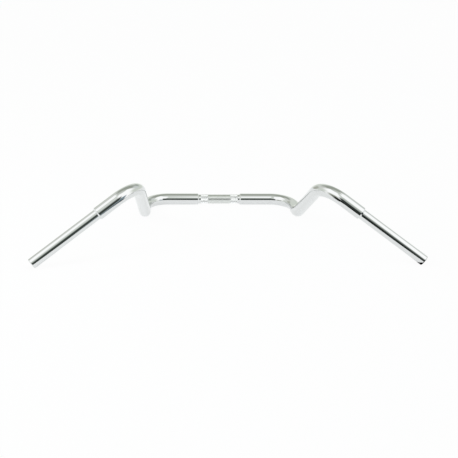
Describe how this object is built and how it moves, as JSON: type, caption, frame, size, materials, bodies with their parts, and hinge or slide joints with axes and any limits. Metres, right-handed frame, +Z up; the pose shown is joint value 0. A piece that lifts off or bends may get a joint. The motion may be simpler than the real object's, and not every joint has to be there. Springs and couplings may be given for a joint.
{
  "type": "motorcycle handlebar",
  "caption": "Chromed motorcycle handlebar with a knurled clamp section, bent fat tubes that rise towards the rider, and slimmer grip ends.",
  "frame": {"origin": "middle of the clamp section, on the axis of the clamp tube", "axes": "+X along the clamp tube to the rider's right, -Y towards the rider, +Z up; the bar is drawn as it lies on a flat bench"},
  "size_m": [0.9238, 0.4474, 0.1594],
  "materials": {
    "chrome": "polished chrome plate",
    "chrome_knurl": "chrome plate over a diamond knurl"
  },
  "bodies": {
    "root": {"centre_clamp_tube": "chrome_knurl", "right_main_tube": "chrome", "left_main_tube": "chrome", "right_grip_tube": "chrome", "left_grip_tube": "chrome", "right_clamp_weld": "chrome", "left_clamp_weld": "chrome", "right_grip_weld": "chrome", "left_grip_weld": "chrome"}
  },
  "joints": []
}
